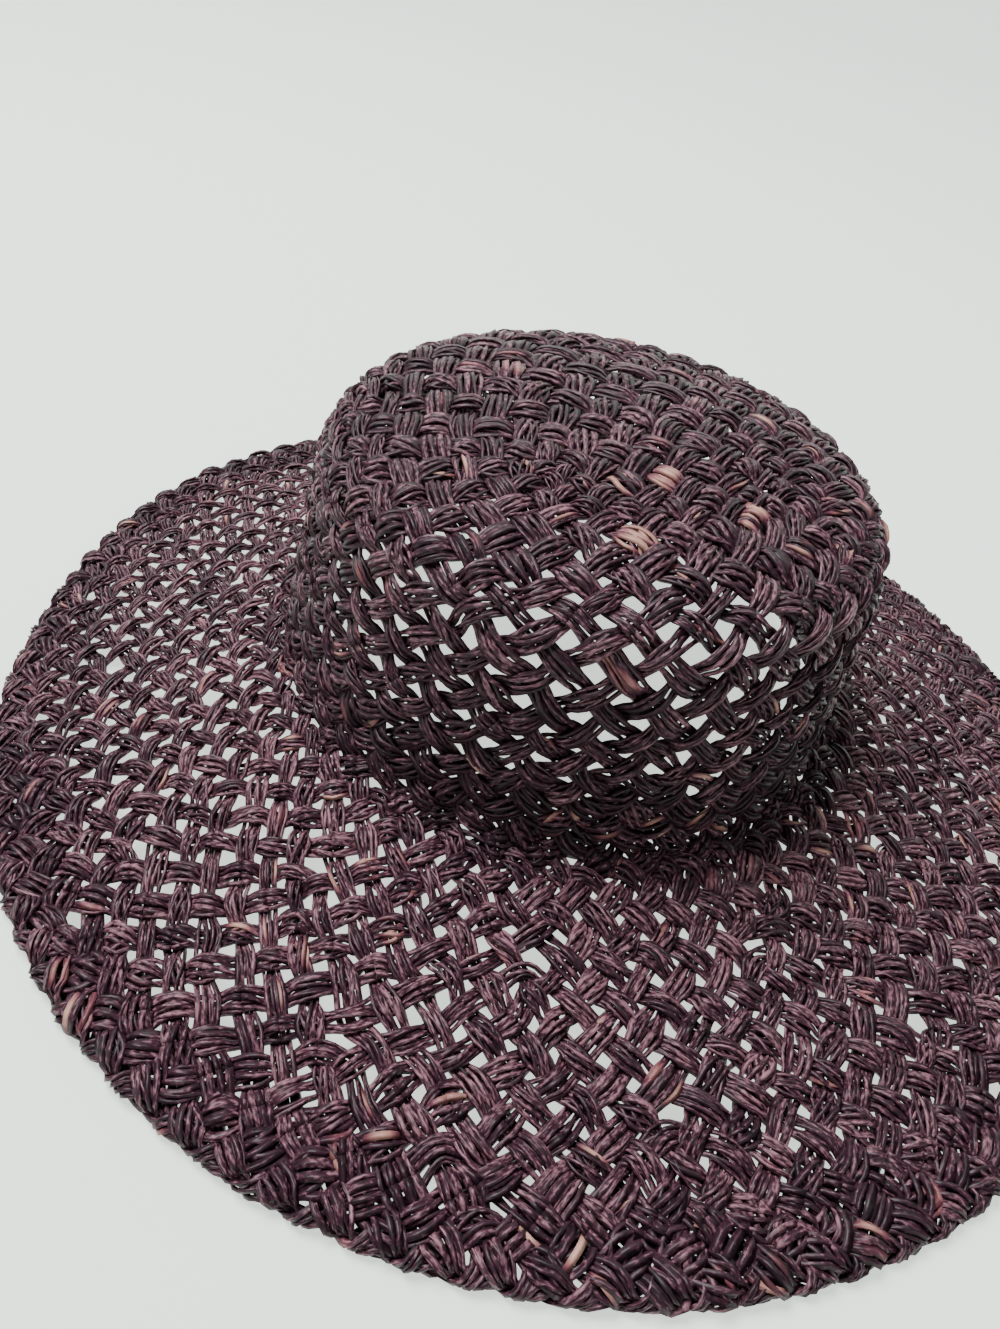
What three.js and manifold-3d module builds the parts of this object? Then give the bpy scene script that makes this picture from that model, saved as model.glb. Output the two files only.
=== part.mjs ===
// A wide-brimmed boater hat, woven from straw in one open plain weave.
// Millimetres, +Z up. The brim's border lies on the plane z = 0, and the origin is
// under the middle of the hat's bounding box. The side with the wider brim faces -Y.

import * as THREE from 'three';
import { mergeVertices } from 'three/addons/utils/BufferGeometryUtils.js';
import Module from 'manifold-3d';

const wasm = await Module();
wasm.setup();

// Driving dimensions

const straw = {
  wall: 3,
  gap: 0.3,
  plum: 0x4f3440,
  roughness: 0.75,
};

const crown = {
  footHeight: 21.5,
  halfWidth: 90.2,
  halfLength: 95.8,
  wallRise: 63.9,
  topShare: 0.94,
  shoulder: 14,
  domeSlope: 13.5,
  tipEdge: 48,
  centreX: -8.8,
  centreY: 11.6,
  leanX: 3.0,
  leanY: -4.3,
  seatRadius: 30,
  around: 60,
};

// Reach of the brim's outline from its own centre, for each direction round it.
const brimOutline = [
  { azimuth: 0, reach: 178.5 },
  { azimuth: 30, reach: 181.0 },
  { azimuth: 60, reach: 185.5 },
  { azimuth: 90, reach: 187.5 },
  { azimuth: 120, reach: 189.5 },
  { azimuth: 150, reach: 188.5 },
  { azimuth: 180, reach: 181.0 },
  { azimuth: 210, reach: 183.0 },
  { azimuth: 240, reach: 186.0 },
  { azimuth: 270, reach: 187.3 },
  { azimuth: 300, reach: 186.2 },
  { azimuth: 330, reach: 182.5 },
];

const brim = {
  edgeHeight: 3.2,
  sag: 0.12,
  steps: 5,
  around: 60,
};

const braid = {
  width: 13,
  height: 6.4,
  scallop: 0.9,
  bumps: 93,
};

// Rows of gaps cut through the weave. On the crown a row's place is its share of the
// side wall's height, on the brim its share of the way from the crown to the braid.
const crownGaps = [
  { place: 0.34, count: 22, across: 6.4, along: 6.4, shift: 0 },
  { place: 0.62, count: 22, across: 6.4, along: 6.4, shift: 0.5 },
];

const brimGaps = [
  { place: 0.2, count: 22, across: 5.6, along: 5.6, shift: 0 },
  { place: 0.5, count: 26, across: 6.6, along: 6.2, shift: 0.5 },
  { place: 0.8, count: 28, across: 7.2, along: 6.6, shift: 0 },
];

// Helpers

const fullTurn = 2 * Math.PI;
const degree = Math.PI / 180;
const meanHalf = (crown.halfWidth + crown.halfLength) / 2;
const topRadius = meanHalf * crown.topShare;
const domeLean = crown.domeSlope * degree;
const domeRadius = topRadius - crown.shoulder * (1 - Math.sin(domeLean));
const domeFoot = crown.wallRise + crown.shoulder * Math.cos(domeLean);
const domeRise = domeRadius * Math.tan(domeLean) / 2;
const crownRise = domeFoot + domeRise;

// Value of a table's column at any azimuth, run smoothly through its rows.
function aroundTable(rows, column, angle) {
  const place = (((angle / fullTurn) % 1) + 1) % 1 * rows.length;
  const row = Math.floor(place);
  const t = place - row;
  const value = (step) => rows[(row + step + rows.length) % rows.length][column];
  const [before, from, to, after] = [value(-1), value(0), value(1), value(2)];
  const slopeFrom = (to - before) / 2;
  const slopeTo = (after - from) / 2;
  return from + t * slopeFrom
    + t * t * (3 * (to - from) - 2 * slopeFrom - slopeTo)
    + t * t * t * (2 * (from - to) + slopeFrom + slopeTo);
}

// A closed body from a list of rings, each with the same number of points. The last
// ring meets the first one, unless both are single points on the axis.
function loft(rings) {
  const around = Math.max(...rings.map((ring) => ring.length));
  const corners = [];
  const firsts = [];
  for (const ring of rings) {
    firsts.push(corners.length);
    corners.push(...ring);
  }
  const faces = [];
  const addFace = (a, b, c) => faces.push(a, b, c);
  const joins = rings[0].length === 1 ? rings.length - 1 : rings.length;
  for (let step = 0; step < joins; step += 1) {
    const next = (step + 1) % rings.length;
    const [low, high] = [firsts[step], firsts[next]];
    for (let k = 0; k < around; k += 1) {
      const after = (k + 1) % around;
      if (rings[step].length === 1) {
        addFace(low, high + k, high + after);
      } else if (rings[next].length === 1) {
        addFace(low + k, high, low + after);
      } else {
        addFace(low + k, high + k, high + after);
        addFace(low + k, high + after, low + after);
      }
    }
  }
  const body = new THREE.BufferGeometry();
  const places = corners.flatMap((corner) => corner.toArray());
  body.setAttribute('position', new THREE.Float32BufferAttribute(places, 3));
  body.setIndex(faces);
  return body;
}

function makeRing(around, pointAt) {
  return Array.from({ length: around }, (_, k) => pointAt((k / around) * fullTurn, k));
}

function toSolid(shape) {
  const bare = shape.clone();
  bare.deleteAttribute('normal');
  bare.deleteAttribute('uv');
  const merged = mergeVertices(bare, 1e-4);
  return new wasm.Manifold(new wasm.Mesh({
    numProp: 3,
    vertProperties: new Float32Array(merged.attributes.position.array),
    triVerts: new Uint32Array(merged.index.array),
  }));
}

function toGeometry(solid) {
  const mesh = solid.getMesh();
  const body = new THREE.BufferGeometry();
  body.setAttribute('position', new THREE.BufferAttribute(mesh.vertProperties, 3));
  body.setIndex(new THREE.BufferAttribute(mesh.triVerts, 1));
  return body;
}

// A four-sided punch along +Z, with its corners on the X and Y axes.
function diamondPunch(across, along, depth) {
  const punch = new THREE.CylinderGeometry(0.5, 0.5, depth, 4);
  punch.rotateX(Math.PI / 2);
  punch.scale(across, along, 1);
  return punch;
}

function cutGaps(shape, punches) {
  let solid = toSolid(shape);
  for (const punch of punches) {
    solid = solid.subtract(toSolid(punch));
  }
  return toGeometry(solid);
}

function makePiece(name, shape) {
  const finish = new THREE.MeshStandardMaterial({
    color: straw.plum,
    roughness: straw.roughness,
    metalness: 0,
  });
  shape.computeVertexNormals();
  const piece = new THREE.Mesh(shape, finish);
  piece.name = name;
  return piece;
}

// Crown

// The half section of the crown's outer face, from the middle of the tip, over the
// shoulder and down the side wall: radius, height above the foot, and how far the face
// leans from level. The tip ends on the shoulder, and the side starts a gap further on.
function crownSection() {
  const halfGap = straw.gap / 2 / crown.shoulder / degree;
  const onDome = (share) => ({
    piece: 'tip',
    radius: domeRadius * share,
    height: domeFoot + domeRise * (1 - share ** 2),
    lean: domeLean * share,
  });
  const onShoulder = (piece, slope) => ({
    piece,
    radius: topRadius - crown.shoulder * (1 - Math.sin(slope * degree)),
    height: crown.wallRise + crown.shoulder * Math.cos(slope * degree),
    lean: slope * degree,
  });
  const onWall = (share) => ({
    piece: 'side',
    radius: meanHalf + (topRadius - meanHalf) * share,
    height: crown.wallRise * share,
    lean: Math.PI / 2,
  });
  return [
    ...[crown.seatRadius / domeRadius, 0.6, 0.8, 1].map(onDome),
    ...[30, crown.tipEdge - halfGap].map((slope) => onShoulder('tip', slope)),
    ...[crown.tipEdge + halfGap, 70, 90].map((slope) => onShoulder('side', slope)),
    ...[0.75, 0.5, 0.25, 0].map(onWall),
  ];
}

// The same section moved inwards by the wall's thickness. Next to the middle the tip is
// level, so that its underside has a flat face there.
function insetSection(section, depth) {
  return section.map((point, k) => {
    const lean = k === 0 ? 0 : point.lean;
    return {
      ...point,
      radius: point.radius - depth * Math.sin(lean),
      height: point.height - depth * Math.cos(lean),
    };
  });
}

function crownPoint(radius, height, angle) {
  const up = height / crownRise;
  return new THREE.Vector3(
    crown.centreX + crown.leanX * up + (radius / meanHalf) * crown.halfWidth * Math.cos(angle),
    crown.centreY + crown.leanY * up + (radius / meanHalf) * crown.halfLength * Math.sin(angle),
    crown.footHeight + height,
  );
}

function crownRing(point) {
  return makeRing(crown.around, (angle) => crownPoint(point.radius, point.height, angle));
}

function crownRings(section, piece) {
  return section.filter((point) => point.piece === piece).map(crownRing);
}

function makeTip(outer, inner) {
  const middle = [crownPoint(0, outer[0].height, 0)];
  const seat = [crownPoint(0, inner[0].height, 0)];
  const top = crownRings(outer, 'tip');
  const under = crownRings(inner, 'tip').reverse();
  return makePiece('crown_tip', loft([middle, ...top, ...under, seat]));
}

function makeSide(outer, inner) {
  const face = crownRings(outer, 'side');
  const inside = crownRings(inner, 'side').reverse();
  const punches = [];
  for (const row of crownGaps) {
    for (let k = 0; k < row.count; k += 1) {
      const angle = ((k + row.shift) / row.count) * fullTurn;
      const punch = diamondPunch(row.across, row.along, 6 * straw.wall);
      const radius = meanHalf * (1 - (1 - crown.topShare) * row.place);
      const place = crownPoint(radius, row.place * crown.wallRise, angle);
      punch.rotateX(Math.PI / 2);
      punch.rotateZ(angle + Math.PI / 2);
      punch.translate(place.x, place.y, place.z);
      punches.push(punch);
    }
  }
  return makePiece('crown_side', cutGaps(loft([...face, ...inside]), punches));
}

// Brim

function outlinePoint(angle, inset, height) {
  const reach = aroundTable(brimOutline, 'reach', angle) - inset;
  return new THREE.Vector3(reach * Math.cos(angle), reach * Math.sin(angle), height);
}

// A point of the brim's middle surface: share 0 is at the crown, 1 at the braid.
function brimPoint(share, angle) {
  const foot = crownPoint(meanHalf + straw.gap, 0, angle);
  const edge = outlinePoint(angle, braid.width + straw.gap, brim.edgeHeight);
  const sag = brim.sag * (crown.footHeight - brim.edgeHeight) * 4 * share * (1 - share);
  const point = foot.lerp(edge, share);
  point.z -= sag;
  return point;
}

function brimRing(share, lift) {
  return makeRing(brim.around, (angle) => {
    const point = brimPoint(share, angle);
    point.z += lift;
    return point;
  });
}

function makeBrim() {
  const shares = Array.from({ length: brim.steps + 1 }, (_, k) => k / brim.steps);
  const top = shares.map((share) => brimRing(share, straw.wall / 2));
  const under = shares.reverse().map((share) => brimRing(share, -straw.wall / 2));
  const sheet = loft([...top, ...under]);
  const punches = [];
  for (const row of brimGaps) {
    for (let k = 0; k < row.count; k += 1) {
      const angle = ((k + row.shift) / row.count) * fullTurn;
      const punch = diamondPunch(row.across, row.along, 6 * straw.wall);
      const place = brimPoint(row.place, angle);
      punch.rotateZ(angle);
      punch.translate(place.x, place.y, place.z);
      punches.push(punch);
    }
  }
  return makePiece('brim', cutGaps(sheet, punches));
}

// Border

// The border's section, from its flat underside and up its outer face.
const braidSection = [
  { inset: 0.78, height: 0 },
  { inset: 0.22, height: 0 },
  { inset: 0, height: 0.35 },
  { inset: 0.06, height: 0.75 },
  { inset: 0.3, height: 1 },
  { inset: 0.7, height: 1 },
  { inset: 1, height: 0.72 },
  { inset: 1, height: 0.28 },
];

function makeBraid() {
  const around = braid.bumps * 2;
  const rings = braidSection.map((corner) => makeRing(around, (angle, k) => {
    const outward = 1 - corner.inset;
    const dent = k % 2 ? braid.scallop * outward : 0;
    return outlinePoint(angle, corner.inset * braid.width + dent, corner.height * braid.height);
  }));
  return makePiece('edge_braid', loft(rings.reverse()));
}

// The hat, moved so that its bounding box stands over the origin

const hat = new THREE.Group();
const outerSection = crownSection();
const innerSection = insetSection(outerSection, straw.wall);
hat.add(makeTip(outerSection, innerSection), makeSide(outerSection, innerSection));
hat.add(makeBrim(), makeBraid());
const middle = new THREE.Box3().setFromObject(hat).getCenter(new THREE.Vector3());
hat.position.set(-middle.x, -middle.y, 0);

export default hat;
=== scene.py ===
"""A wide-brimmed boater hat, woven straw by straw round the packed solids.

The weave is one continuous net of straw bundles. It starts in the middle of the crown's
tip, curls round the edge of the brim and ends below it. Its crossings lie on rings. On
every ring each bundle either runs anticlockwise or clockwise on its way outwards, and the
two kinds take turns to lie on top. Folded bundles join in where the hat grows wider.
"""

import math

import bmesh
import bpy
import numpy as np
from bpy.props import FloatProperty, FloatVectorProperty, IntProperty, PointerProperty
from mathutils import Matrix, Vector


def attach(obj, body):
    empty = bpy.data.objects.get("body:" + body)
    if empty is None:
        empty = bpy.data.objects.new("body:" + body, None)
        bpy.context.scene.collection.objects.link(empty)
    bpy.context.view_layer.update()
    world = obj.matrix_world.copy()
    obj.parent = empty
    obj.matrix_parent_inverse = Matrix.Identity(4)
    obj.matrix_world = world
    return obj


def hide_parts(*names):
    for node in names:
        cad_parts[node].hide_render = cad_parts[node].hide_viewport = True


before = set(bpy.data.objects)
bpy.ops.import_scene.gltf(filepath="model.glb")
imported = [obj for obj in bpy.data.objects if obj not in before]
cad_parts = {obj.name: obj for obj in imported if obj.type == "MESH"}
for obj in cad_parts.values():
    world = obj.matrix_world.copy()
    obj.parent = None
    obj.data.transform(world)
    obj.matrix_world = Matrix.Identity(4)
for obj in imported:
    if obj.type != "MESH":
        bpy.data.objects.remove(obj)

bl_info = {
    "name": "Woven boater hat",
    "version": (1, 0, 0),
    "blender": (4, 5, 0),
    "location": "3D View > Sidebar > Hat",
    "description": "Builds a wide-brimmed straw hat from single straws",
    "category": "Object",
}

MM = 0.001
TURN = 2 * math.pi


# Settings

class HatShape(bpy.types.PropertyGroup):
    """The smooth surface that the weave follows."""

    half_width: FloatProperty(
        name="Half width", description="Half of the crown's foot across",
        default=90.2 * MM, unit="LENGTH")
    half_length: FloatProperty(
        name="Half length", description="Half of the crown's foot lengthwise",
        default=95.8 * MM, unit="LENGTH")
    foot_height: FloatProperty(
        name="Foot height", description="Height of the crown's foot", default=21.5 * MM, unit="LENGTH")
    wall_rise: FloatProperty(
        name="Wall rise", description="Rise of the crown's side wall", default=63.9 * MM, unit="LENGTH")
    top_share: FloatProperty(
        name="Top share", description="Top of the side wall as a share of its foot", default=0.94)
    shoulder: FloatProperty(
        name="Shoulder", description="Radius of the rounded shoulder", default=14 * MM, unit="LENGTH")
    dome_slope: FloatProperty(
        name="Dome slope", description="Slope of the tip where it meets the shoulder",
        default=math.radians(13.5), subtype="ANGLE")
    centre: FloatVectorProperty(
        name="Crown centre", description="Place of the crown's foot", size=2,
        default=(-7.4875 * MM, 11.505 * MM), unit="LENGTH")
    lean: FloatVectorProperty(
        name="Lean", description="How far the tip stands off the middle of the foot", size=2,
        default=(3.0 * MM, -4.3 * MM), unit="LENGTH")
    brim_centre: FloatVectorProperty(
        name="Brim centre", description="Middle of the brim's outline", size=2,
        default=(1.3125 * MM, -0.095 * MM), unit="LENGTH")
    brim_reach: FloatVectorProperty(
        name="Brim reach", description="Reach of the outline in twelve directions, from +X anticlockwise",
        size=12, unit="LENGTH",
        default=[reach * MM for reach in (
            178.5, 181.0, 185.5, 187.5, 189.5, 188.5, 181.0, 183.0, 186.0, 187.3, 186.2, 182.5)])
    brim_run: FloatProperty(
        name="Brim run", description="Length of weave from the crown's foot to the outline",
        default=92 * MM, unit="LENGTH")
    edge_height: FloatProperty(
        name="Edge height", description="Height of the brim's middle at its edge",
        default=4.7 * MM, unit="LENGTH")
    sag: FloatProperty(
        name="Sag", description="Sag of the brim as a share of its drop", default=0.12)
    curl: FloatProperty(
        name="Curl", description="Radius of the curl round the edge", default=1.9 * MM, unit="LENGTH")
    curl_inset: FloatProperty(
        name="Curl inset", description="How far inside the outline the curl starts",
        default=3.6 * MM, unit="LENGTH")


class HatWeave(bpy.types.PropertyGroup):
    """Bundles, crossings and straws."""

    straws: IntProperty(name="Straws", description="Straws side by side in a bundle", default=7, min=2)
    straw_width: FloatProperty(
        name="Straw width", description="Width of one straw", default=1.15 * MM, unit="LENGTH")
    straw_thickness: FloatProperty(
        name="Straw thickness", description="Thickness of one straw", default=1.3 * MM, unit="LENGTH")
    wave: FloatProperty(
        name="Wave", description="How far a bundle swings over and under",
        default=1.2 * MM, unit="LENGTH")
    dome: FloatProperty(
        name="Dome", description="How much higher the middle of a bundle lies than its sides",
        default=0.95 * MM, unit="LENGTH")
    waist: FloatProperty(
        name="Waist", description="Share by which a bundle narrows between crossings", default=0.1)
    spread: FloatProperty(
        name="Spread", description="Share by which a bundle is wider on top and narrower below",
        default=0.04)
    wander: FloatProperty(
        name="Wander", description="How far a straw strays sideways in its bundle",
        default=0.35 * MM, unit="LENGTH")
    twist: FloatProperty(
        name="Twist", description="Most half turns of a bundle from one crossing to the next",
        default=0.5)
    scatter: FloatProperty(
        name="Scatter", description="How far a crossing strays from its even place",
        default=0.6 * MM, unit="LENGTH")
    turn: FloatProperty(
        name="Turn", description="Direction of the square weave on the tip",
        default=math.radians(-10), subtype="ANGLE")
    seed: IntProperty(name="Seed", description="Seed of all the small differences", default=7)


class HatColours(bpy.types.PropertyGroup):
    """Colours of the dyed straw."""

    dark: FloatVectorProperty(
        name="Dark", description="Darkest straws", subtype="COLOR", default=(0.014, 0.0065, 0.0105))
    middle: FloatVectorProperty(
        name="Middle", description="Most straws", subtype="COLOR", default=(0.047, 0.0145, 0.0272))
    light: FloatVectorProperty(
        name="Light", description="Worn straws", subtype="COLOR", default=(0.29, 0.140, 0.175))
    pink: FloatVectorProperty(
        name="Pink", description="Straw that took up less dye", subtype="COLOR",
        default=(0.42, 0.115, 0.14))
    bare: FloatVectorProperty(
        name="Bare", description="Straw that took up little dye", subtype="COLOR",
        default=(0.62, 0.35, 0.27))
    roughness: FloatProperty(name="Roughness", description="Roughness of the straw", default=0.44)


class HatStage(bpy.types.PropertyGroup):
    """Floor, light and camera."""

    floor_colour: FloatVectorProperty(
        name="Floor", description="Colour of the floor", subtype="COLOR", default=(0.68, 0.75, 0.695))
    floor_matt: FloatProperty(
        name="Floor reflection", description="Share of its colour that the floor throws back",
        default=0.85)
    floor_glow: FloatProperty(
        name="Floor glow", description="Light that the floor gives off itself",
        default=1.56)
    sky_strength: FloatProperty(
        name="Sky", description="Strength of the light from all round",
        default=0.13)
    key_power: FloatProperty(
        name="Key light", description="Power of the large lamp",
        default=55, unit="POWER")
    fill_power: FloatProperty(
        name="Fill light", description="Power of the low lamp",
        default=3, unit="POWER")
    camera_place: FloatVectorProperty(
        name="Camera", description="Place of the camera", size=3, unit="LENGTH",
        default=(-24.711 * MM, -274.174 * MM, 239.273 * MM))
    camera_elevation: FloatProperty(
        name="Elevation", description="How steeply the camera looks down",
        default=math.radians(39.33), subtype="ANGLE")
    camera_roll: FloatProperty(
        name="Roll", description="Turn of the camera about its own line of sight",
        default=math.radians(11.99), subtype="ANGLE")
    lens: FloatProperty(name="Lens", description="Focal length in millimetres", default=28.44)


# Surface

# Steps along the surface with their weights, which round the bend at the crown's foot.
SMOOTHING = ((-6 * MM, 0.15), (-3 * MM, 0.22), (0.0, 0.26), (3 * MM, 0.22), (6 * MM, 0.15))
SMOOTH_FROM = 40 * MM
HALF_WALL = 1.5 * MM
PROBE = 0.5 * MM
TIP_POINTS = 41
SHOULDER_POINTS = 21
WALL_POINTS = 31
SHORTEST = 1e-12


def crown_section(shape):
    """Distance from the middle of the tip, radius and height along the crown's middle surface."""
    mean_half = (shape.half_width + shape.half_length) / 2
    top = mean_half * shape.top_share
    slope = shape.dome_slope
    dome_radius = top - shape.shoulder * (1 - math.sin(slope))
    dome_foot = shape.wall_rise + shape.shoulder * math.cos(slope)
    dome_rise = dome_radius * math.tan(slope) / 2
    share = np.linspace(0, 1, TIP_POINTS)
    arc = np.linspace(slope, math.pi / 2, SHOULDER_POINTS)[1:]
    slant = np.concatenate([slope * share, arc, np.full(WALL_POINTS, math.pi / 2)])
    radius = np.concatenate([
        dome_radius * share,
        top - shape.shoulder * (1 - np.sin(arc)),
        np.linspace(top, mean_half, WALL_POINTS),
    ])
    height = np.concatenate([
        dome_foot + dome_rise * (1 - share ** 2),
        shape.wall_rise + shape.shoulder * np.cos(arc),
        np.linspace(shape.wall_rise, 0, WALL_POINTS),
    ])
    distance = np.concatenate([[0], np.cumsum(np.hypot(np.diff(radius), np.diff(height)))])
    return {
        "distance": distance,
        "radius": radius - HALF_WALL * np.sin(slant),
        "height": height - HALF_WALL * np.cos(slant),
        "mean_half": mean_half,
        "rise": dome_foot + dome_rise,
        "foot": distance[-1],
    }


def outline_reach(shape, angle):
    """Reach of the brim's outline, run smoothly through its twelve directions."""
    rows = np.array(shape.brim_reach)
    place = (angle / TURN) % 1 * len(rows)
    row = np.floor(place).astype(int)
    share = place - row
    before, start, end, after = (rows[(row + step) % len(rows)] for step in (-1, 0, 1, 2))
    slope_start = (end - before) / 2
    slope_end = (after - start) / 2
    return (start + share * slope_start + share ** 2 * (3 * (end - start) - 2 * slope_start - slope_end)
            + share ** 3 * (2 * (start - end) + slope_start + slope_end))


def outline_point(shape, angle, inset, height):
    """Point at a height, a little way inside the brim's outline."""
    reach = outline_reach(shape, angle) - inset
    return np.stack([
        shape.brim_centre[0] + reach * np.cos(angle),
        shape.brim_centre[1] + reach * np.sin(angle),
        np.broadcast_to(height, reach.shape),
    ], -1)


def crown_point(shape, section, radius, height, angle):
    """Point of the crown, which leans and is longer than it is wide."""
    up = height / section["rise"]
    spread = radius / section["mean_half"]
    return np.stack([
        shape.centre[0] + shape.lean[0] * up + spread * shape.half_width * np.cos(angle),
        shape.centre[1] + shape.lean[1] * up + spread * shape.half_length * np.sin(angle),
        shape.foot_height + height,
    ], -1)


def sharp_point(shape, section, distance, angle):
    """Point of the surface before the bend at the crown's foot is rounded."""
    radius = np.interp(distance, section["distance"], section["radius"])
    height = np.interp(distance, section["distance"], section["height"])
    on_crown = crown_point(shape, section, radius, height, angle)
    share = (distance - section["foot"]) / shape.brim_run
    foot = crown_point(shape, section, section["mean_half"] + 0 * angle, 0 * angle, angle)
    edge = outline_point(shape, angle, 0.0, shape.edge_height)
    on_brim = foot + (edge - foot) * share[..., None]
    drop = shape.foot_height - shape.edge_height
    on_brim[..., 2] -= shape.sag * drop * 4 * share * (1 - share)
    return np.where((distance > section["foot"])[..., None], on_brim, on_crown)


def curl_start(shape, section):
    """Distance at which the weave starts to curl round the edge."""
    return section["foot"] + shape.brim_run - shape.curl_inset


def curl_point(shape, section, distance, angle):
    """Point of the surface that curls round the edge and back below it."""
    start = curl_start(shape, section)
    past = np.maximum(distance - start, 0)
    turned = np.minimum(past / shape.curl, math.pi)
    below = past - turned * shape.curl
    top = sharp_point(shape, section, start + 0 * distance, angle)
    inset = shape.curl_inset - shape.curl * np.sin(turned) + below
    height = top[..., 2] - shape.curl * (1 - np.cos(turned))
    return outline_point(shape, angle, inset, height)


def surface_point(shape, section, x, y):
    """Point of the surface at a place on the flat plan of the weave."""
    distance = np.hypot(x, y)
    angle = np.arctan2(y, x)
    to_curl = curl_start(shape, section) - distance
    share = np.clip(np.minimum(distance / SMOOTH_FROM, to_curl / SMOOTHING[-1][0]), 0, 1)
    flat = sum(
        weight * sharp_point(shape, section, distance + step * share, angle) for step, weight in SMOOTHING)
    return np.where((to_curl < 0)[..., None], curl_point(shape, section, distance, angle), flat)


def unit(vectors):
    """The vectors at a length of one."""
    return vectors / np.maximum(np.linalg.norm(vectors, axis=-1, keepdims=True), SHORTEST)


def surface_normal(shape, section, x, y):
    """Direction straight out of the surface."""
    along_x = surface_point(shape, section, x + PROBE, y) - surface_point(shape, section, x - PROBE, y)
    along_y = surface_point(shape, section, x, y + PROBE) - surface_point(shape, section, x, y - PROBE)
    return unit(np.cross(along_x, along_y))


# Net of crossings

# The four neighbours of a crossing: where its two bundles come from and where they go.
FROM_INNER, FROM_NEXT, TO_NEXT, TO_INNER = range(4)
FREE = -1

# Last ring on which a folded bundle joins in at each corner of the square weave.
CORNERS = {"right": 12, "back": 12, "left": 12, "front": 4}

# How many folded bundles join in on the rings further out.
JOINS = {27: 21, 32: 12, 38: 12, 42: 8}
LAST_RING = 45
FIRST_STEP = 7 * MM
FIRST_PINNED = 9
FOOT_RING = 26
FOOT_DISTANCE = 160 * MM
WALL_STEP = 5.4 * MM
BRIM_START = 164 * MM
BRIM_STEP = 5.28 * MM
EDGE_RING = 42
EDGE_STEP = 4.6 * MM
TIP_SHIFT = (-13 * MM, 11 * MM)
FIRST_CENTRED = 17
PULL_RINGS = (4, 8)
PULLS = (0.55, 1.0)
RELAX_ROUNDS = 900
RELAX_SHARE = 0.6


def ring_distance(ring):
    """Distance of a ring of crossings from the middle of the tip."""
    if ring < FIRST_PINNED:
        return FIRST_STEP * ring
    if ring <= FOOT_RING:
        return FOOT_DISTANCE - (FOOT_RING - ring) * WALL_STEP
    past_edge = max(ring - EDGE_RING, 0)
    return BRIM_START + (ring - past_edge - FOOT_RING - 1) * BRIM_STEP + past_edge * EDGE_STEP


def grow_net(turn):
    """The crossings, ring by ring, with the four neighbours of each along its bundles.

    A bundle that runs anticlockwise reaches a crossing from the ring's own place, and one
    that runs clockwise from the next place round. A folded bundle starts between two new
    neighbours and leaves both ways.
    """
    links = []
    ring_of = []
    angles = []
    folds = []

    def add(ring, angle):
        links.append([FREE] * 4)
        ring_of.append(ring)
        angles.append(angle)
        return len(links) - 1

    def fold(first, second):
        links[first][FROM_NEXT] = second
        links[second][FROM_INNER] = first
        folds.append((first, second))

    sides = len(CORNERS)
    rings = [[add(1, turn + TURN * (side - 0.5) / sides) for side in range(sides)]]
    for side in range(sides):
        fold(rings[0][side], rings[0][(side + 1) % sides])
    corner_gap = {corner: gap for gap, corner in enumerate(CORNERS)}
    for ring in range(2, LAST_RING + 1):
        inner = rings[-1]
        growing = {corner_gap[corner]: corner for corner, last in CORNERS.items() if ring <= last}
        count = JOINS.get(ring, 0)
        joins = {int((number + 0.5) * len(inner) / count) for number in range(count)}
        outer = []
        for gap, here in enumerate(inner):
            there = inner[(gap + 1) % len(inner)]
            start = angles[here]
            end = angles[there] + (TURN if gap + 1 == len(inner) else 0)
            is_fold = gap in growing or gap in joins
            if gap in growing:
                corner_gap[growing[gap]] = len(outer)
            first = add(ring, start + (end - start) * (1 / 3 if is_fold else 1 / 2))
            second = add(ring, start + (end - start) * 2 / 3) if is_fold else first
            links[first][FROM_INNER] = here
            links[here][TO_NEXT] = first
            links[second][FROM_NEXT] = there
            links[there][TO_INNER] = second
            outer.append(first)
            if is_fold:
                fold(first, second)
                outer.append(second)
        rings.append(outer)
    return {
        "links": np.array(links),
        "ring": np.array(ring_of),
        "angle": np.array(angles),
        "folds": folds,
    }


def ring_middle(ring):
    """Middle of each ring on the plan: the square weave on the tip stands off its centre."""
    share = np.clip((FIRST_CENTRED - ring) / (FIRST_CENTRED - FIRST_PINNED), 0, 1)
    return share[:, None] * np.array(TIP_SHIFT)


def spread_net(net, scatter, chance):
    """Even places for the crossings on the flat plan, each between its four neighbours."""
    ring = net["ring"]
    radius = np.array([ring_distance(number) for number in range(LAST_RING + 1)])[ring]
    middle = ring_middle(ring)
    plan = middle + radius[:, None] * np.stack([np.cos(net["angle"]), np.sin(net["angle"])], -1)
    moving = ring < LAST_RING
    pinned = (ring >= FIRST_PINNED) & moving
    rim = np.flatnonzero(~moving)
    even = TURN * np.arange(len(rim)) / len(rim)
    even += np.mean(net["angle"][rim] - even)
    plan[rim] = radius[rim, None] * np.stack([np.cos(even), np.sin(even)], -1)
    neighbours = net["links"][moving]
    pull = np.interp(np.maximum(ring[neighbours], ring[moving][:, None]), PULL_RINGS, PULLS)
    pull /= pull.sum(1, keepdims=True)
    for _ in range(RELAX_ROUNDS):
        between = (pull[..., None] * plan[neighbours]).sum(1)
        plan[moving] = (1 - RELAX_SHARE) * plan[moving] + RELAX_SHARE * between
        plan[pinned] = middle[pinned] + radius[pinned, None] * unit(plan[pinned] - middle[pinned])
    return plan + moving[:, None] * chance.normal(0, scatter, plan.shape)


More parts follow.
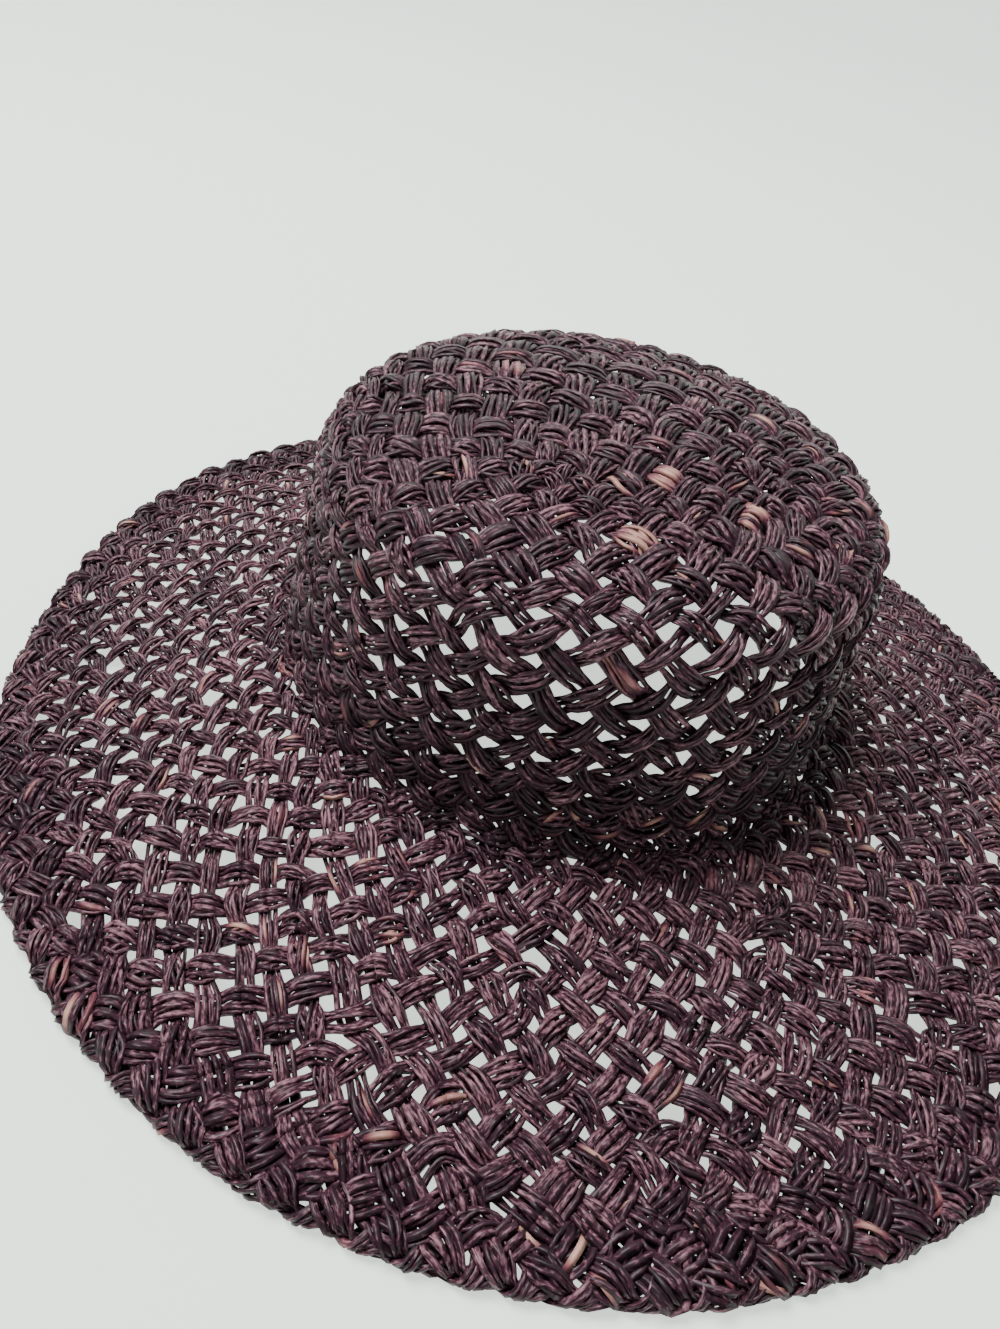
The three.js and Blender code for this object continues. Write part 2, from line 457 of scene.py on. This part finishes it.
def trace_bundles(net):
    """The crossings along each bundle, whether it runs clockwise there, and whether it lies on top."""
    links = net["links"]
    bundles = []
    for first, second in net["folds"]:
        clockwise = [first]
        while links[clockwise[-1]][TO_INNER] != FREE:
            clockwise.append(links[clockwise[-1]][TO_INNER])
        anticlockwise = [second]
        while links[anticlockwise[-1]][TO_NEXT] != FREE:
            anticlockwise.append(links[anticlockwise[-1]][TO_NEXT])
        nodes = np.array(clockwise[::-1] + anticlockwise)
        is_clockwise = np.arange(len(nodes)) < len(clockwise)
        on_top = (net["ring"][nodes] % 2 == 0) == is_clockwise
        bundles.append((nodes, is_clockwise, on_top))
    return bundles


# Straws

STEPS = 5
SIDES = 3
GRAIN_APART = 7


def smooth_path(points, steps):
    """A smooth line through the points, with the given number of steps from each to the next."""
    ends = np.concatenate([2 * points[:1] - points[1:2], points, 2 * points[-1:] - points[-2:-1]])
    before, start, end, after = ends[:-3], ends[1:-2], ends[2:-1], ends[3:]
    rows = []
    for step in range(steps):
        share = step / steps
        rows.append(0.5 * (
            2 * start + (end - before) * share + (2 * before - 5 * start + 4 * end - after) * share ** 2
            + (3 * start - before - 3 * end + after) * share ** 3))
    path = np.stack(rows, 1).reshape(-1, points.shape[1])
    return np.concatenate([path, points[-1:]])


def ease(values, steps):
    """Values at the crossings, eased along a bundle. The last axis runs along the bundle."""
    share = (1 - np.cos(math.pi * np.arange(steps) / steps)) / 2
    start, end = values[..., :-1, None], values[..., 1:, None]
    between = (start + (end - start) * share).reshape(*values.shape[:-1], -1)
    return np.concatenate([between, values[..., -1:]], -1)


def tube_corners(centres, across, lift, half_width, half_thickness, turn):
    """Corners of the rings of a straw's skin, one ring at each centre."""
    angle = TURN * np.arange(SIDES) / SIDES + turn[:, None, None]
    wide = (half_width[..., None] * np.cos(angle))[..., None] * across[..., None, :]
    high = (half_thickness[..., None] * np.sin(angle))[..., None] * lift[..., None, :]
    return centres[..., None, :] + wide + high


class StrawMesh:
    """Gathers the skins of straws for one piece."""

    def __init__(self):
        self.corners = []
        self.sides = []
        self.ends = []
        self.tones = []
        self.flecks = []
        self.grains = []
        self.count = 0

    def add(self, centres, normal, half_width, half_thickness, tone, fleck, grain_start):
        """Adds a batch of straws of equal length: centres has the shape straws, steps, 3."""
        along = unit(np.gradient(centres, axis=1))
        across = unit(np.cross(normal, along))
        lift = np.cross(along, across)
        corners = tube_corners(centres, across, lift, half_width, half_thickness, grain_start)
        straws, steps = centres.shape[:2]
        start = self.count + np.arange(straws)[:, None, None] * steps * SIDES
        row = np.arange(steps - 1)[None, :, None] * SIDES
        side = np.arange(SIDES)[None, None, :]
        after = (side + 1) % SIDES
        low = start + row
        quads = np.stack([low + side, low + after, low + after + SIDES, low + side + SIDES], -1)
        first = start[:, 0] + np.arange(SIDES)[::-1]
        last = start[:, 0] + (steps - 1) * SIDES + np.arange(SIDES)
        self.sides.append(quads.reshape(-1, 4))
        self.ends.append(np.concatenate([first, last]))
        self.corners.append(corners.reshape(-1, 3))
        step_length = np.linalg.norm(np.diff(centres, axis=1), axis=-1)
        run = np.concatenate([np.zeros((straws, 1)), np.cumsum(step_length, 1)], 1) / MM
        around = TURN * np.arange(SIDES) / SIDES
        grain = np.zeros(corners.shape)
        grain[..., 0] = run[..., None] + grain_start[:, None, None]
        grain[..., 1] = np.cos(around) + GRAIN_APART * np.arange(straws)[:, None, None]
        grain[..., 2] = np.sin(around) + grain_start[:, None, None]
        self.grains.append(grain.reshape(-1, 3))
        self.tones.append(np.repeat(tone.reshape(-1), SIDES))
        self.flecks.append(np.repeat(fleck.reshape(-1), SIDES))
        self.count += straws * steps * SIDES

    def make(self, name, material):
        """Makes the piece from all the straws."""
        corners = np.concatenate(self.corners)
        sides = np.concatenate(self.sides)
        ends = np.concatenate(self.ends)
        mesh = bpy.data.meshes.new(name)
        mesh.vertices.add(len(corners))
        mesh.vertices.foreach_set("co", corners.ravel())
        mesh.loops.add(sides.size + ends.size)
        mesh.loops.foreach_set("vertex_index", np.concatenate([sides.ravel(), ends.ravel()]))
        mesh.polygons.add(len(sides) + len(ends))
        mesh.polygons.foreach_set("loop_start", np.concatenate([
            np.arange(len(sides)) * 4, sides.size + np.arange(len(ends)) * SIDES]))
        mesh.polygons.foreach_set("use_smooth", np.arange(len(sides) + len(ends)) < len(sides))
        tone = mesh.attributes.new("tone", "FLOAT", "POINT")
        tone.data.foreach_set("value", np.concatenate(self.tones))
        fleck = mesh.attributes.new("fleck", "FLOAT", "POINT")
        fleck.data.foreach_set("value", np.concatenate(self.flecks))
        grain = mesh.attributes.new("grain", "FLOAT_VECTOR", "POINT")
        grain.data.foreach_set("vector", np.concatenate(self.grains).ravel())
        mesh.update(calc_edges=True)
        mesh.validate()
        mesh.materials.append(material)
        piece = bpy.data.objects.new(name, mesh)
        bpy.context.scene.collection.objects.link(piece)
        return piece


# Share of the pitch that bundles cover, by distance from the middle line of the square weave.
MAT_LINE = ((-34 * MM, -3 * MM), (12 * MM, 10 * MM))
MAT_COVER = np.array([
    (0 * MM, 0.87),
    (62 * MM, 0.87),
    (70 * MM, 0.83),
    (80 * MM, 0.69),
    (90 * MM, 0.60),
])

# The same share by distance from the middle of the tip.
COVER = np.array([
    (0 * MM, 0.64),
    (122 * MM, 0.68),
    (140 * MM, 0.88),
    (160 * MM, 0.99),
    (170 * MM, 0.72),
    (190 * MM, 0.68),
    (228 * MM, 0.73),
    (240 * MM, 0.97),
    (246 * MM, 1.10),
])
WIDEST = 9.8 * MM

# Change of tone by distance from the middle of the tip: painted shade on the lower side wall above the
# crown's foot, painted light on the brim, and a little darker round the edge.
PAINTED_LIGHT_AND_SHADE = np.array([
    (0 * MM, 0.0),
    (125 * MM, 0.0),
    (148 * MM, -0.10),
    (162 * MM, 0.0),
    (176 * MM, 0.12),
    (200 * MM, 0.07),
    (232 * MM, 0.05),
    (245 * MM, -0.04),
])

# The side on which the brim is woven more densely, and how much more it covers there.
DENSE_SIDE = math.radians(-50)
DENSE_EXTRA = 0.12

PIECES = (
    {"name": "crown_tip_weave", "last_ring": 13, "replaces": "crown_tip", "slot": "straw_weave"},
    {"name": "crown_upper_weave", "last_ring": 19, "replaces": "crown_side", "slot": "straw_weave"},
    {"name": "crown_lower_weave", "last_ring": 26, "replaces": "crown_side", "slot": "straw_weave"},
    {"name": "brim_inner_weave", "last_ring": 30, "replaces": "brim", "slot": "straw_weave"},
    {"name": "brim_middle_weave", "last_ring": 34, "replaces": "brim", "slot": "straw_weave"},
    {"name": "brim_outer_weave", "last_ring": 38, "replaces": "brim", "slot": "straw_weave"},
    {"name": "brim_edge_weave", "last_ring": 41, "replaces": "brim", "slot": "straw_weave"},
    {"name": "edge_border", "last_ring": 45, "replaces": "edge_braid", "slot": "straw_braid"},
)


def mat_distance(x, y):
    """Distance from the middle line of the square weave."""
    start, end = np.array(MAT_LINE)
    run = end - start
    share = np.clip(((x - start[0]) * run[0] + (y - start[1]) * run[1]) / (run @ run), 0, 1)
    return np.hypot(x - start[0] - share * run[0], y - start[1] - share * run[1])


def bundle_pitch(net, points):
    """Distance between bundles that run side by side, for the anticlockwise and clockwise ones."""
    own = np.arange(len(points))
    near = [np.where(net["links"][:, key] == FREE, own, net["links"][:, key]) for key in range(4)]
    pitches = []
    for back, ahead, left, right in (
            (near[FROM_INNER], near[TO_NEXT], near[FROM_NEXT], near[TO_INNER]),
            (near[FROM_NEXT], near[TO_INNER], near[FROM_INNER], near[TO_NEXT])):
        along = unit(points[ahead] - points[back])
        gap = points[right] - points[left]
        gap = gap - (gap * along).sum(1, keepdims=True) * along
        steps = (left != own).astype(int) + (right != own)
        pitches.append(np.linalg.norm(gap, axis=1) / np.maximum(steps, 1))
    return np.stack(pitches, 1)


# Shares of the crossings and of the straws that took up less dye.
WORN_LUMPS = 0.05
WORN_STRAWS = 0.35
STRAY_STRAWS = 0.015
LEAST_WORN = 0.5

# The palest spots on the tip.
PALE_SPOTS = np.array(((13.3, -25.8), (2.7, -54.4), (-5.1, 48.2), (37.3, -35.5))) * MM
PALE_REACH = 4.2 * MM
PALE_STRAWS = 0.95
PALEST = 0.86

# How the straws differ from each other.
STRAW_SIZES = (0.85, 1.15)
BUNDLE_SIZES = (0.88, 1.12)
TONE_LEAST = 0.10
TONE_OF_STRAW = 0.12
TONE_OF_STRAW_HERE = 0.40
TONE_OF_BUNDLE_HERE = 0.24
GRAIN_STARTS = (0, 500)
GRAIN_STEP = 5.0

# How the straws lie in a bundle.
FLATNESS = 1.6
ROUNDING = 0.95
OVERLAP = 1.75
MAT_EVENNESS = 0.7
LAYER_RISE = 0.32 * MM
STRAY_RISE = 0.15 * MM
CALM_BELOW = 0.6
CALM_RUN = 3
LOWEST = 0.62


def is_pale(places):
    """Whether a crossing is one of the few whose top straws took up hardly any dye."""
    away = np.linalg.norm(places[:, None] - PALE_SPOTS, axis=-1)
    return (away < PALE_REACH).any(1)


def straw_chances(chance, straws, pale):
    """Small differences of each straw at each crossing."""
    count = len(pale)
    worn = np.where(chance.uniform(0, 1, count) < WORN_LUMPS, WORN_STRAWS, STRAY_STRAWS)
    worn = np.where(pale, PALE_STRAWS, worn)
    least = np.where(pale, PALEST, LEAST_WORN)
    return {
        "sideways": chance.normal(0, 1, (straws, count)),
        "up": chance.normal(0, 1, (straws, count)),
        "size": chance.uniform(*STRAW_SIZES, (straws, 1)),
        "tone": TONE_LEAST + TONE_OF_STRAW * chance.uniform(0, 1, (straws, 1))
        + TONE_OF_STRAW_HERE * chance.uniform(0, 1, (straws, count))
        + TONE_OF_BUNDLE_HERE * chance.uniform(0, 1, count),
        "fleck": (chance.uniform(0, 1, (straws, count)) < worn) * chance.uniform(least, 1, (straws, count)),
        "start": chance.uniform(*GRAIN_STARTS, straws),
    }


def lay_bundle(shape, weave, section, places, pitch, on_top, chance):
    """Centres and looks of the straws along one bundle."""
    plan = smooth_path(places, STEPS)
    x, y = plan[:, 0], plan[:, 1]
    normal = surface_normal(shape, section, x, y)
    middle = surface_point(shape, section, x, y)
    swing = np.tanh(FLATNESS * ease(np.where(on_top, 1.0, -1.0), STEPS)) / math.tanh(FLATNESS)
    count = len(places)
    phase = np.arange(len(plan)) / STEPS
    in_mat = np.interp(mat_distance(x, y), MAT_COVER[:, 0], MAT_COVER[:, 1])
    distance = np.hypot(x, y)
    on_brim = distance > FOOT_DISTANCE
    outside = np.interp(distance, COVER[:, 0], COVER[:, 1])
    outside += DENSE_EXTRA * on_brim * np.cos(np.arctan2(y, x) - DENSE_SIDE)
    cover = np.maximum(in_mat, outside)
    width = np.minimum(cover * ease(pitch, STEPS), WIDEST)
    width *= ease(np.where(on_top, 1 + weave.spread, 1 - weave.spread), STEPS)
    width *= 1 - weave.waist * (1 - MAT_EVENNESS * in_mat) * np.sin(math.pi * phase) ** 2
    width *= ease(chance.uniform(*BUNDLE_SIZES, count), STEPS)
    along = unit(np.gradient(middle, axis=0))
    across = unit(np.cross(normal, along))
    odds = straw_chances(chance, weave.straws, is_pale(places) & on_top)
    turned = 2 * np.arange(weave.straws)[:, None] / weave.straws + chance.uniform(0, 2)
    turned = turned + weave.twist * chance.uniform(-1, 1) * phase
    slot = np.arcsin(ROUNDING * np.sin(math.pi * turned)) / math.asin(ROUNDING)
    reach = (width - weave.straw_width) / 2
    sideways = slot * reach + weave.wander * ease(odds["sideways"], STEPS)
    straw_width = np.maximum(weave.straw_width, OVERLAP * width / weave.straws)
    layer = LAYER_RISE * np.cos(math.pi * turned)
    in_curl = np.clip((distance - curl_start(shape, section)) / (CALM_RUN * shape.curl), 0, 1)
    swing = swing * (1 - CALM_BELOW * in_curl)
    rise = weave.wave + weave.dome * (0.5 - slot ** 2)
    up = swing * rise + layer + STRAY_RISE * ease(odds["up"], STEPS)
    centres = middle + sideways[..., None] * across + up[..., None] * normal
    centres[..., 2] = np.maximum(centres[..., 2], LOWEST * weave.straw_thickness)
    return {
        "centres": centres,
        "normal": np.broadcast_to(normal, centres.shape),
        "half_width": straw_width / 2 * odds["size"],
        "half_thickness": weave.straw_thickness / 2 * odds["size"] * np.ones(len(plan)),
        # The tone adds painted shade on the lower side wall and painted light on the brim to each straw's
        # own tone.
        "tone": ease(odds["tone"], STEPS) + np.interp(distance, PAINTED_LIGHT_AND_SHADE[:, 0], PAINTED_LIGHT_AND_SHADE[:, 1]),
        "fleck": ease(odds["fleck"], STEPS),
        "start": odds["start"],
    }


def add_run(mesh, bundle, first, last):
    """Adds the part of a bundle between two of its crossings to a piece."""
    part = slice(first * STEPS, last * STEPS + 1)
    mesh.add(
        bundle["centres"][:, part], bundle["normal"][:, part], bundle["half_width"][:, part],
        bundle["half_thickness"][:, part], bundle["tone"][:, part], bundle["fleck"][:, part],
        bundle["start"] + GRAIN_STEP * first)


def weave_meshes(shape, weave):
    """One StrawMesh for each piece of the weave."""
    chance = np.random.default_rng(weave.seed)
    section = crown_section(shape)
    net = grow_net(weave.turn)
    plan = spread_net(net, weave.scatter, chance)
    pitch = bundle_pitch(net, surface_point(shape, section, plan[:, 0], plan[:, 1]))
    last_rings = np.array([piece["last_ring"] for piece in PIECES])
    meshes = [StrawMesh() for _ in PIECES]
    for nodes, is_clockwise, on_top in trace_bundles(net):
        bundle = lay_bundle(
            shape, weave, section, plan[nodes], pitch[nodes, is_clockwise.astype(int)], on_top, chance)
        ring = net["ring"][nodes]
        owner = np.searchsorted(last_rings, np.maximum(ring[:-1], ring[1:]))
        changes = np.flatnonzero(np.diff(owner)) + 1
        bounds = [0, *changes, len(owner)]
        for first, last in zip(bounds[:-1], bounds[1:]):
            add_run(meshes[owner[first]], bundle, first, last)
    return meshes


# Finish

SHINE = 0.32
DYED_PLACES = (0.1, 0.55, 0.95)
UNDYED_PLACES = (0.6, 0.95)
STREAK_STRETCH = (0.6, 1.3, 1.3)
STREAK_DETAIL = 3.0
STREAK_SHARE = 1.9
WORN_GAIN = 1.7
WORN_START = -0.8
STREAK_DEPTH = 0.3 * MM
STREAK_STRENGTH = 0.35
FLOOR_ROUGHNESS = 0.8
FLOOR_SHINE = 0.2


def add_attribute(tree, name):
    """A node that reads one of the straws' own values."""
    node = tree.nodes.new("ShaderNodeAttribute")
    node.attribute_name = name
    return node


def add_math(tree, operation, *values):
    """A node of arithmetic, with its values after the first one."""
    node = tree.nodes.new("ShaderNodeMath")
    node.operation = operation
    for number, value in enumerate(values, 1):
        node.inputs[number].default_value = value
    return node


def add_ramp(tree, *stops):
    """A run of colours, from stops of a place and a colour each."""
    node = tree.nodes.new("ShaderNodeValToRGB")
    elements = node.color_ramp.elements
    for element, (place, colour) in zip(elements, (stops[0], stops[-1])):
        element.position = place
        element.color = (*colour, 1)
    for place, colour in stops[1:-1]:
        elements.new(place).color = (*colour, 1)
    return node


def socket(sockets, identifier):
    """The socket with this identifier, where several have one name."""
    return next(part for part in sockets if part.identifier == identifier)


def straw_material(name, colours):
    """Dyed straw with streaks along each straw."""
    material = bpy.data.materials.new(name)
    material.use_nodes = True
    tree = material.node_tree
    skin = tree.nodes["Principled BSDF"]
    skin.inputs["Roughness"].default_value = colours.roughness
    skin.inputs["Specular IOR Level"].default_value = SHINE
    # The tone attribute holds each straw's own tone together with painted shade and painted light.
    tone = add_attribute(tree, "tone")
    grain = add_attribute(tree, "grain")
    fleck = add_attribute(tree, "fleck")
    stretch = tree.nodes.new("ShaderNodeVectorMath")
    stretch.operation = "MULTIPLY"
    stretch.inputs[1].default_value = STREAK_STRETCH
    streak = tree.nodes.new("ShaderNodeTexNoise")
    streak.inputs["Scale"].default_value = 1.0
    streak.inputs["Detail"].default_value = STREAK_DETAIL
    blend = add_math(tree, "MULTIPLY_ADD", STREAK_SHARE)
    shift = add_math(tree, "SUBTRACT", STREAK_SHARE / 2)
    dyed = add_ramp(tree, *zip(DYED_PLACES, (colours.dark, colours.middle, colours.light)))
    undyed = add_ramp(tree, *zip(UNDYED_PLACES, (colours.pink, colours.bare)))
    worn = add_math(tree, "MULTIPLY_ADD", WORN_GAIN, WORN_START)
    worn.use_clamp = True
    mix = tree.nodes.new("ShaderNodeMix")
    mix.data_type = "RGBA"
    bump = tree.nodes.new("ShaderNodeBump")
    bump.inputs["Strength"].default_value = STREAK_STRENGTH
    bump.inputs["Distance"].default_value = STREAK_DEPTH
    tree.links.new(grain.outputs["Vector"], stretch.inputs[0])
    tree.links.new(stretch.outputs["Vector"], streak.inputs["Vector"])
    tree.links.new(streak.outputs["Fac"], blend.inputs[0])
    tree.links.new(tone.outputs["Fac"], blend.inputs[2])
    tree.links.new(blend.outputs["Value"], shift.inputs[0])
    tree.links.new(shift.outputs["Value"], dyed.inputs["Fac"])
    tree.links.new(fleck.outputs["Fac"], undyed.inputs["Fac"])
    tree.links.new(fleck.outputs["Fac"], worn.inputs[0])
    tree.links.new(worn.outputs["Value"], socket(mix.inputs, "Factor_Float"))
    tree.links.new(dyed.outputs["Color"], socket(mix.inputs, "A_Color"))
    tree.links.new(undyed.outputs["Color"], socket(mix.inputs, "B_Color"))
    tree.links.new(socket(mix.outputs, "Result_Color"), skin.inputs["Base Color"])
    tree.links.new(streak.outputs["Fac"], bump.inputs["Height"])
    tree.links.new(bump.outputs["Normal"], skin.inputs["Normal"])
    return material


def floor_material(colour, matt, glow):
    """A pale floor that also gives off light."""
    material = bpy.data.materials.new("floor")
    material.use_nodes = True
    skin = material.node_tree.nodes["Principled BSDF"]
    skin.inputs["Base Color"].default_value = (*(part * matt for part in colour), 1)
    skin.inputs["Roughness"].default_value = FLOOR_ROUGHNESS
    skin.inputs["Specular IOR Level"].default_value = FLOOR_SHINE
    skin.inputs["Emission Color"].default_value = (*colour, 1)
    skin.inputs["Emission Strength"].default_value = glow
    return material


# Stage

FLOOR_HALF = 4.0
FLOOR_FRONT = -3.0
BEND_PLACE = 1.6
BEND_RADIUS = 1.0
BEND_STEPS = 12
WALL_TOP = 4.0
LAMP_AIM = (0, 0, 0.05)
KEY_PLACE = (-0.65, 0.12, 1.6)
KEY_SIZE = 1.0
FILL_PLACE = (0.9, -1.2, 1.0)
FILL_SIZE = 1.2
SKY_COLOUR = (0.93, 0.97, 1.0)
SENSOR = 36
NEAREST = 0.01
FARTHEST = 50


def pull_edge(sheet, edge, step):
    """Pulls a strip out of an edge, and gives its far edge."""
    strip = bmesh.ops.extrude_edge_only(sheet, edges=[edge])["geom"]
    corners = [part for part in strip if isinstance(part, bmesh.types.BMVert)]
    bmesh.ops.translate(sheet, vec=step, verts=corners)
    return far_edge(strip)


def far_edge(strip):
    """The edge in a list of mesh parts."""
    return next(part for part in strip if isinstance(part, bmesh.types.BMEdge))


def make_floor(settings):
    """A floor that sweeps up into a wall behind the object."""
    sheet = bmesh.new()
    front = [sheet.verts.new((side * FLOOR_HALF, FLOOR_FRONT, 0)) for side in (-1, 1)]
    bend_start = pull_edge(sheet, sheet.edges.new(front), (0, BEND_PLACE - FLOOR_FRONT, 0))
    bend = bmesh.ops.spin(
        sheet, geom=[bend_start, *bend_start.verts], cent=(0, BEND_PLACE, BEND_RADIUS), axis=(1, 0, 0),
        angle=math.pi / 2, steps=BEND_STEPS)
    pull_edge(sheet, far_edge(bend["geom_last"]), (0, 0, WALL_TOP - BEND_RADIUS))
    for face in sheet.faces:
        face.smooth = True
    mesh = bpy.data.meshes.new("floor")
    sheet.to_mesh(mesh)
    sheet.free()
    mesh.materials.append(floor_material(settings.floor_colour, settings.floor_matt, settings.floor_glow))
    floor = bpy.data.objects.new("floor", mesh)
    bpy.context.scene.collection.objects.link(floor)


def add_lamp(name, power, size, place):
    """A round lamp that shines at the hat."""
    lamp = bpy.data.lights.new(name, "AREA")
    lamp.shape = "DISK"
    lamp.energy = power
    lamp.size = size
    holder = bpy.data.objects.new(name, lamp)
    holder.location = place
    holder.rotation_mode = "QUATERNION"
    holder.rotation_quaternion = (Vector(LAMP_AIM) - Vector(place)).to_track_quat("-Z", "Y")
    bpy.context.scene.collection.objects.link(holder)


def make_lights(settings):
    """Two lamps and a faint light from all round."""
    add_lamp("key_lamp", settings.key_power, KEY_SIZE, KEY_PLACE)
    add_lamp("fill_lamp", settings.fill_power, FILL_SIZE, FILL_PLACE)
    world = bpy.data.worlds.new("sky")
    world.use_nodes = True
    sky = world.node_tree.nodes["Background"]
    sky.inputs["Color"].default_value = (*SKY_COLOUR, 1)
    sky.inputs["Strength"].default_value = settings.sky_strength
    bpy.context.scene.world = world


def make_camera(settings):
    """The camera from the solved viewpoint."""
    tilt = settings.camera_elevation
    roll = settings.camera_roll
    back = Vector((0, -math.cos(tilt), math.sin(tilt)))
    level = Vector((1, 0, 0))
    upright = back.cross(level)
    right = level * math.cos(roll) + upright * math.sin(roll)
    up = upright * math.cos(roll) - level * math.sin(roll)
    data = bpy.data.cameras.new("camera")
    data.sensor_width = SENSOR
    data.lens = settings.lens
    data.clip_start = NEAREST
    data.clip_end = FARTHEST
    camera = bpy.data.objects.new("camera", data)
    pose = Matrix((right, up, back)).transposed().to_4x4()
    pose.translation = Vector(settings.camera_place)
    camera.matrix_world = pose
    bpy.context.scene.collection.objects.link(camera)
    bpy.context.scene.camera = camera


# Operators

class MakeHatWeave(bpy.types.Operator):
    """Weave the crown and the brim from single straws"""

    bl_idname = "hat.make_weave"
    bl_label = "Make weave"

    def execute(self, context):
        scene = context.scene
        material = straw_material("dyed_straw", scene.hat_colours)
        for row, mesh in zip(PIECES, weave_meshes(scene.hat_shape, scene.hat_weave)):
            piece = mesh.make(row["name"], material)
            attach(piece, "root")
            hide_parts(row["replaces"])
        return {"FINISHED"}


class MakeHatStage(bpy.types.Operator):
    """Set up the floor, the light and the camera"""

    bl_idname = "hat.make_stage"
    bl_label = "Make stage"

    def execute(self, context):
        settings = context.scene.hat_stage
        make_floor(settings)
        make_lights(settings)
        make_camera(settings)
        return {"FINISHED"}


# Panel

class HatPanel(bpy.types.Panel):
    """Lists the steps and sizes of the hat"""

    bl_idname = "VIEW3D_PT_hat"
    bl_label = "Woven hat"
    bl_space_type = "VIEW_3D"
    bl_region_type = "UI"
    bl_category = "Hat"

    def draw(self, context):
        for operator in OPERATORS:
            self.layout.operator(operator.bl_idname)
        for name, group in GROUPS.items():
            box = self.layout.box()
            box.label(text=group.__doc__)
            settings = getattr(context.scene, name)
            for key in group.__annotations__:
                box.prop(settings, key)


GROUPS = {
    "hat_shape": HatShape,
    "hat_weave": HatWeave,
    "hat_colours": HatColours,
    "hat_stage": HatStage,
}
OPERATORS = (MakeHatWeave, MakeHatStage)


# Registration

def register():
    """Adds the settings, the operators and the panel."""
    for group in (*GROUPS.values(), *OPERATORS, HatPanel):
        bpy.utils.register_class(group)
    for name, group in GROUPS.items():
        setattr(bpy.types.Scene, name, PointerProperty(type=group))


def unregister():
    """Takes the settings, the operators and the panel away again."""
    for name in GROUPS:
        delattr(bpy.types.Scene, name)
    for group in reversed((*GROUPS.values(), *OPERATORS, HatPanel)):
        bpy.utils.unregister_class(group)


def main():
    """Builds the hat and its stage."""
    register()
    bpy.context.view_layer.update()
    bpy.ops.hat.make_weave()
    bpy.ops.hat.make_stage()


if __name__ == "__main__":
    main()
